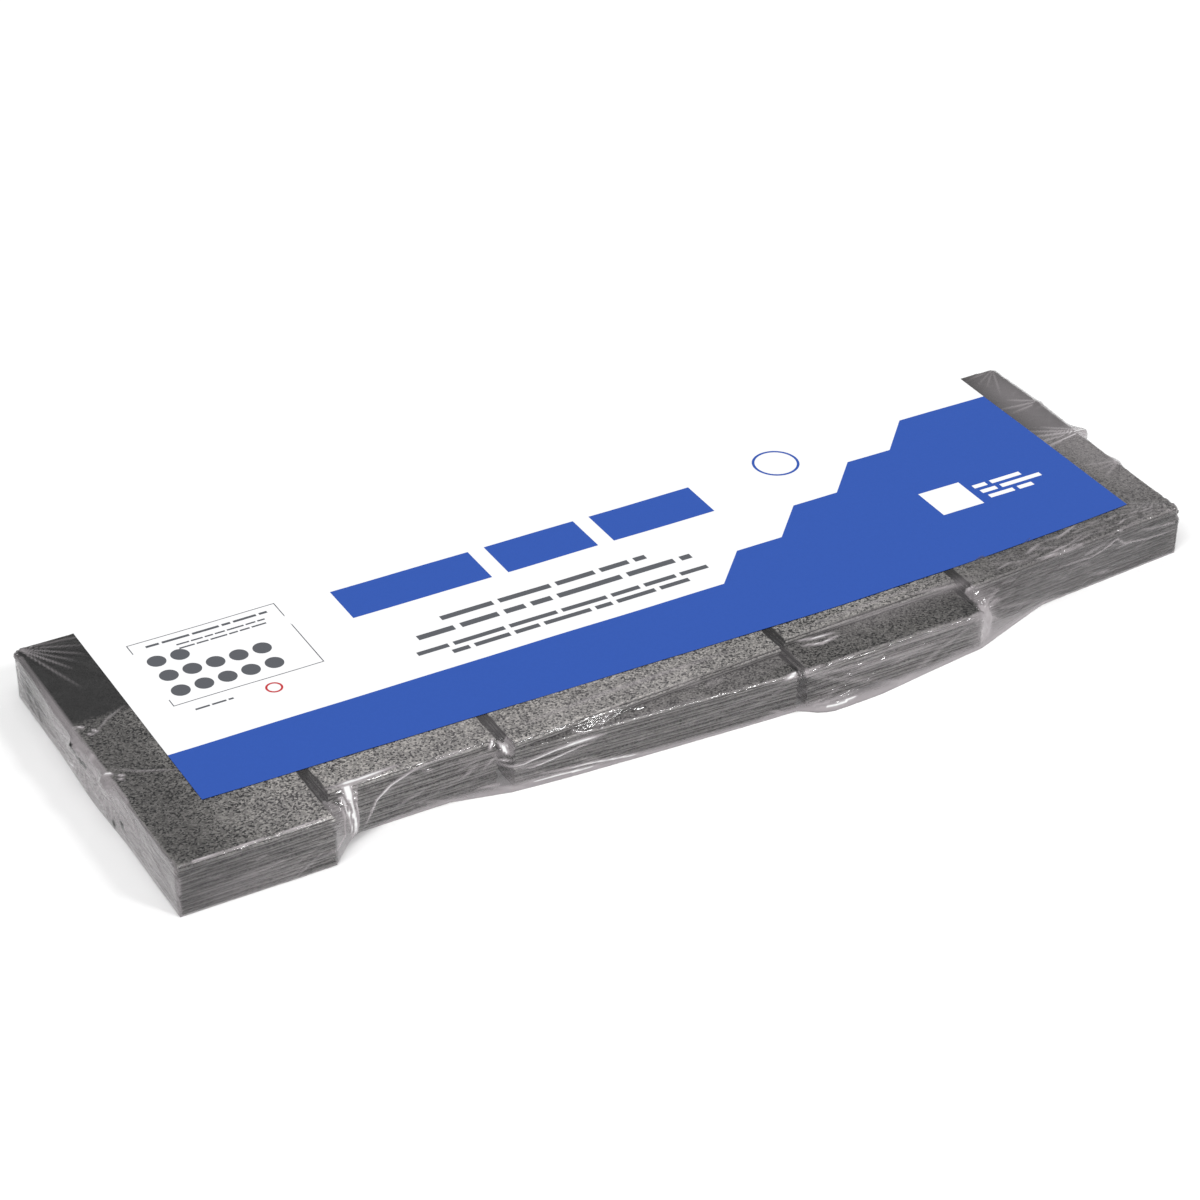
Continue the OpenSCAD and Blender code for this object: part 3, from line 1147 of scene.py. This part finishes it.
def apply_modifiers(piece):
    """Gives the piece the mesh that its modifiers make."""
    graph = bpy.context.evaluated_depsgraph_get()
    made = bpy.data.meshes.new_from_object(piece.evaluated_get(graph))
    piece.modifiers.clear()
    piece.data = made


# Plain print, in mm along and across. Lines of small print, grey and white: where each
# starts and ends, its middle and its height
SMALL_PRINT = [
    (333, 535, 206, 6.5),
    (302, 571, 188.5, 7),
    (291, 575, 167, 5.5),
    (319, 550, 156.5, 5.5),
    (96, 208, 286, 3),
    (120, 205, 277, 2),
    (120, 200, 271, 2),
    (96, 130, 183, 2.2),
]
WHITE_PRINT = [(856, 908, 164, 5.5), (858, 926, 154, 5.5), (860, 908, 144, 5.5)]
# Blue blocks: where each starts and ends along, and where all do across
TITLE_BLOCKS = [(268, 402), (418, 508), (524, 628)]
TITLE_ACROSS = (242, 288)
# The framed panel's left, right, front and back, the width of its rule, and its rows of
# discs, each a place across and places along
PANEL, PANEL_RULE = (82, 218.4, 195.5, 295.2), 0.9
PANEL_DISCS = [
    (262.4, [95.8, 116.9]),
    (238.5, [96.5, 117.6, 138.7, 159.8, 181.2]),
    (214.0, [96.5, 117.6, 138.7, 159.8, 181.2]),
]
DISC_RADIUS = 8.2
# Rings: the middle and the outer and inner radius
SEAL = ((720.6, 285.9), 22, 19.5)
SMALL_RING = ((165.6, 181), 7.5, 5.6)
# The square's left, right, front and back
WHITE_SQUARE = (804.8, 848.9, 136.7, 177.5)


BLUE_INK, WHITE_INK, GREY_INK, RED_INK = range(4)


class Print:
    """Gathers flat shapes of ink that lie just above the sheet."""

    LIFT = 0.06 * MM
    # longest stretch of a bar, in mm, and number of points round a circle
    BAR_STEP = 8
    ROUND = 40

    def __init__(self):
        self.points, self.faces, self.slots = [], [], []

    def add(self, corners, faces, ink):
        """Adds a shape whose corners are in mm along and across."""
        first = len(self.points)
        for u, v in corners:
            x, y = along(u), across(v)
            self.points.append((x, y, sheet_height(x, y) + self.LIFT))
        self.faces += [tuple(first + i for i in face) for face in faces]
        self.slots += [ink] * len(faces)

    def bar(self, left, right, front, back, ink):
        """Adds a rectangle, cut across every few millimetres so that it follows the sheet."""
        cuts = max(1, math.ceil((right - left) / self.BAR_STEP))
        us = [left + (right - left) * i / cuts for i in range(cuts + 1)]
        corners = [(u, v) for u in us for v in (front, back)]
        faces = [(2 * i, 2 * i + 2, 2 * i + 3, 2 * i + 1) for i in range(cuts)]
        self.add(corners, faces, ink)

    def ring(self, centre, outer, inner, ink):
        """Adds a ring, or a disc when the inner radius is nothing."""
        count = self.ROUND
        turns = [2 * math.pi * i / count for i in range(count)]
        circle = [(math.cos(t), math.sin(t)) for t in turns]
        corners = [(centre[0] + outer * c, centre[1] + outer * s) for c, s in circle]
        if not inner:
            self.add(corners, [range(count)], ink)
            return
        corners += [(centre[0] + inner * c, centre[1] + inner * s) for c, s in circle]
        nexts = [(i + 1) % count for i in range(count)]
        faces = [(i, j, count + j, count + i) for i, j in enumerate(nexts)]
        self.add(corners, faces, ink)

    def line(self, rng, left, right, middle, height, ink):
        """Adds a line of small print, as a row of plain bars of uneven length."""
        u = left
        while u < right - height:
            end = min(right, u + height * rng.uniform(2.5, 9))
            self.bar(u, end, middle - height / 2, middle + height / 2, ink)
            u = end + height * 0.9


def print_piece(blue, white, grey, red):
    """The sheet's plain print: blocks and bars in place of words, rings and discs."""
    rng = np.random.default_rng(5)
    ink = Print()
    for left, right in TITLE_BLOCKS:
        ink.bar(left, right, *TITLE_ACROSS, BLUE_INK)
    for left, right, middle, height in SMALL_PRINT:
        ink.line(rng, left, right, middle, height, GREY_INK)
    for left, right, middle, height in WHITE_PRINT:
        ink.line(rng, left, right, middle, height, WHITE_INK)
    left, right, front, back = PANEL
    for across_mm in (front, back - PANEL_RULE):
        ink.bar(left, right, across_mm, across_mm + PANEL_RULE, GREY_INK)
    for along_mm in (left, right - PANEL_RULE):
        ink.bar(along_mm, along_mm + PANEL_RULE, front + PANEL_RULE, back - PANEL_RULE, GREY_INK)
    for across_mm, row in PANEL_DISCS:
        for along_mm in row:
            ink.ring((along_mm, across_mm), DISC_RADIUS, 0, GREY_INK)
    ink.ring(*SEAL, BLUE_INK)
    ink.ring(*SMALL_RING, RED_INK)
    ink.bar(*WHITE_SQUARE, WHITE_INK)
    inks = [blue, white, grey, red]
    piece = mesh_object("printed_marks", ink.points, ink.faces, inks, ink.slots)
    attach(piece, "root")
    return piece


def paper_material(name, colour):
    """Coated offset paper: even, smooth and softly satin, with a trace of ink mottle."""
    material, tree = new_material(name)
    place = add_node(tree, "TexCoord").outputs["Object"]
    # ink mottle a few millimetres across
    mottle = add_node(tree, "TexNoise", Vector=place, Scale=300.0, Detail=3.0)
    tone = add_node(tree, "ValToRGB", Fac=mottle.outputs["Fac"])
    set_ramp(tone, [(0.3, [0.97 * c for c in colour]), (0.7, colour)])
    # paper fibre, drawn about 1 mm long
    fibre = add_node(tree, "TexNoise", Vector=place, Scale=1000.0, Detail=2.0)
    bump = add_node(tree, "Bump", Strength=0.05, Distance=0.1 * MM, Height=fibre.outputs["Fac"])
    shader = add_node(
        tree,
        "BsdfPrincipled",
        Base_Color=tone,
        Roughness=0.6,
        IOR=1.45,
        Specular_IOR_Level=0.2,
        Normal=bump,
    )
    show(tree, shader)
    return material


# Stage


# Half the floor's width and the lights' distance, in metres
FLOOR_REACH, LIGHT_DISTANCE = 30.0, 3


def stage_floor(settings):
    """A wide pale floor under the bundle."""
    material, tree = new_material("Pale matt floor")
    shader = add_node(tree, "BsdfDiffuse", Color=(*settings.floor, 1.0), Roughness=0.0)
    show(tree, shader)
    points = [(x * FLOOR_REACH, y * FLOOR_REACH, 0) for x, y in ((-1, -1), (1, -1), (1, 1), (-1, 1))]
    floor = mesh_object("floor", points, [(0, 1, 2, 3)], [material])
    return floor


# Soft lights far off: name, compass direction that each comes from measured from the
# tabs' side towards the right end, height, both in degrees, strength and width
LIGHTS = [
    ("key", -60, 50, 1.15, 25),
    ("front", 32, 38, 0.85, 10),
    ("right", 80, 28, 0.2, 8),
    ("top", 0, 80, 0.6, 30),
]


def soft_light(name, direction, height, strength, width):
    """A broad light far away, given by where it comes from."""
    light = bpy.data.lights.new(name, "SUN")
    light.energy = strength
    light.angle = math.radians(width)
    turn, rise = math.radians(direction), math.radians(height)
    source = Vector((math.sin(turn) * math.cos(rise), -math.cos(turn) * math.cos(rise), math.sin(rise)))
    holder = bpy.data.objects.new(name, light)
    holder.location = source * LIGHT_DISTANCE
    holder.rotation_euler = source.to_track_quat("Z", "Y").to_euler()
    bpy.context.scene.collection.objects.link(holder)


def stage_camera(settings):
    """The camera, aimed by yaw, pitch and roll."""
    yaw, pitch, roll = settings.camera_turn
    ahead = Vector((math.sin(yaw) * math.cos(pitch), math.cos(yaw) * math.cos(pitch), -math.sin(pitch)))
    level_right = Vector((math.cos(yaw), -math.sin(yaw), 0))
    level_up = level_right.cross(ahead)
    right = level_right * math.cos(roll) + level_up * math.sin(roll)
    up = level_up * math.cos(roll) - level_right * math.sin(roll)
    lens = bpy.data.cameras.new("camera")
    lens.lens = settings.lens
    lens.sensor_width = 36.0
    lens.clip_end = 100.0
    camera = bpy.data.objects.new("camera", lens)
    turn = Matrix((right, up, -ahead)).transposed().to_4x4()
    camera.matrix_world = Matrix.Translation(Vector(settings.camera_place)) @ turn
    bpy.context.scene.collection.objects.link(camera)
    bpy.context.scene.camera = camera


def stage_world():
    """Even white surroundings."""
    world = bpy.data.worlds.new("white studio")
    world.use_nodes = True
    tree = world.node_tree
    tree.nodes.clear()
    glow = add_node(tree, "Background", Color=(1.0, 1.0, 1.0, 1.0), Strength=0.48)
    add_node(tree, "OutputWorld", Surface=glow)
    bpy.context.scene.world = world


# Operators and panel


class BuildStrips(bpy.types.Operator):
    """Builds the worn, granule-faced shingle strips."""

    bl_idname = "shingle_bundle.strips"
    bl_label = "Shingle strips"

    def execute(self, context):
        settings = context.scene.bundle_strips
        material = granule_material(settings)
        for number, node in enumerate(STRIPS):
            strip_piece(node, settings, material, seed=100 + number)
        return {"FINISHED"}


class BuildFilm(bpy.types.Operator):
    """Builds the clear shrink film round the stack."""

    bl_idname = "shingle_bundle.film"
    bl_label = "Shrink film"

    def execute(self, context):
        settings = context.scene.bundle_film
        film_piece(settings, film_material(settings))
        return {"FINISHED"}


class BuildSheet(bpy.types.Operator):
    """Builds the printed sheet on top."""

    bl_idname = "shingle_bundle.sheet"
    bl_label = "Printed sheet"

    def execute(self, context):
        settings = context.scene.bundle_sheet
        blue = paper_material("Blue printed paper", settings.blue)
        white = paper_material("White coated paper", settings.white)
        grey = paper_material("Grey printed ink", settings.grey)
        red = paper_material("Red printed ink", settings.red)
        sheet_piece(settings, blue, white)
        print_piece(blue, white, grey, red)
        return {"FINISHED"}


class BuildStage(bpy.types.Operator):
    """Sets up the floor, the lights and the camera."""

    bl_idname = "shingle_bundle.stage"
    bl_label = "Stage"

    def execute(self, context):
        settings = context.scene.bundle_stage
        stage_world()
        stage_floor(settings)
        for light in LIGHTS:
            soft_light(*light)
        stage_camera(settings)
        context.scene.view_settings.view_transform = "Standard"
        return {"FINISHED"}


class BundlePanel(bpy.types.Panel):
    """Lists the bundle's settings and the operators that build it."""

    bl_idname = "VIEW3D_PT_shingle_bundle"
    bl_label = "Shingle Bundle"
    bl_space_type = "VIEW_3D"
    bl_region_type = "UI"
    bl_category = "Shingle Bundle"

    def draw(self, context):
        for group, operator in STEPS:
            box = self.layout.box()
            for name in getattr(context.scene, group).bl_rna.properties.keys():
                if name not in ("rna_type", "name"):
                    box.prop(getattr(context.scene, group), name)
            box.operator(operator)


SETTINGS = {
    "bundle_strips": StripSettings,
    "bundle_film": FilmSettings,
    "bundle_sheet": SheetSettings,
    "bundle_stage": StageSettings,
}
STEPS = [
    ("bundle_stage", BuildStage.bl_idname),
    ("bundle_strips", BuildStrips.bl_idname),
    ("bundle_film", BuildFilm.bl_idname),
    ("bundle_sheet", BuildSheet.bl_idname),
]
CLASSES = [*SETTINGS.values(), BuildStage, BuildStrips, BuildFilm, BuildSheet, BundlePanel]


def register():
    """Adds the settings, operators and panel to Blender."""
    for cls in CLASSES:
        bpy.utils.register_class(cls)
    for name, group in SETTINGS.items():
        setattr(bpy.types.Scene, name, bpy.props.PointerProperty(type=group))


def unregister():
    """Takes them away again."""
    for name in SETTINGS:
        delattr(bpy.types.Scene, name)
    for cls in reversed(CLASSES):
        bpy.utils.unregister_class(cls)


def main():
    """Builds everything in order."""
    register()
    bpy.ops.shingle_bundle.stage()
    bpy.ops.shingle_bundle.strips()
    bpy.ops.shingle_bundle.film()
    bpy.ops.shingle_bundle.sheet()
    bpy.context.view_layer.update()


if __name__ == "__main__":
    main()
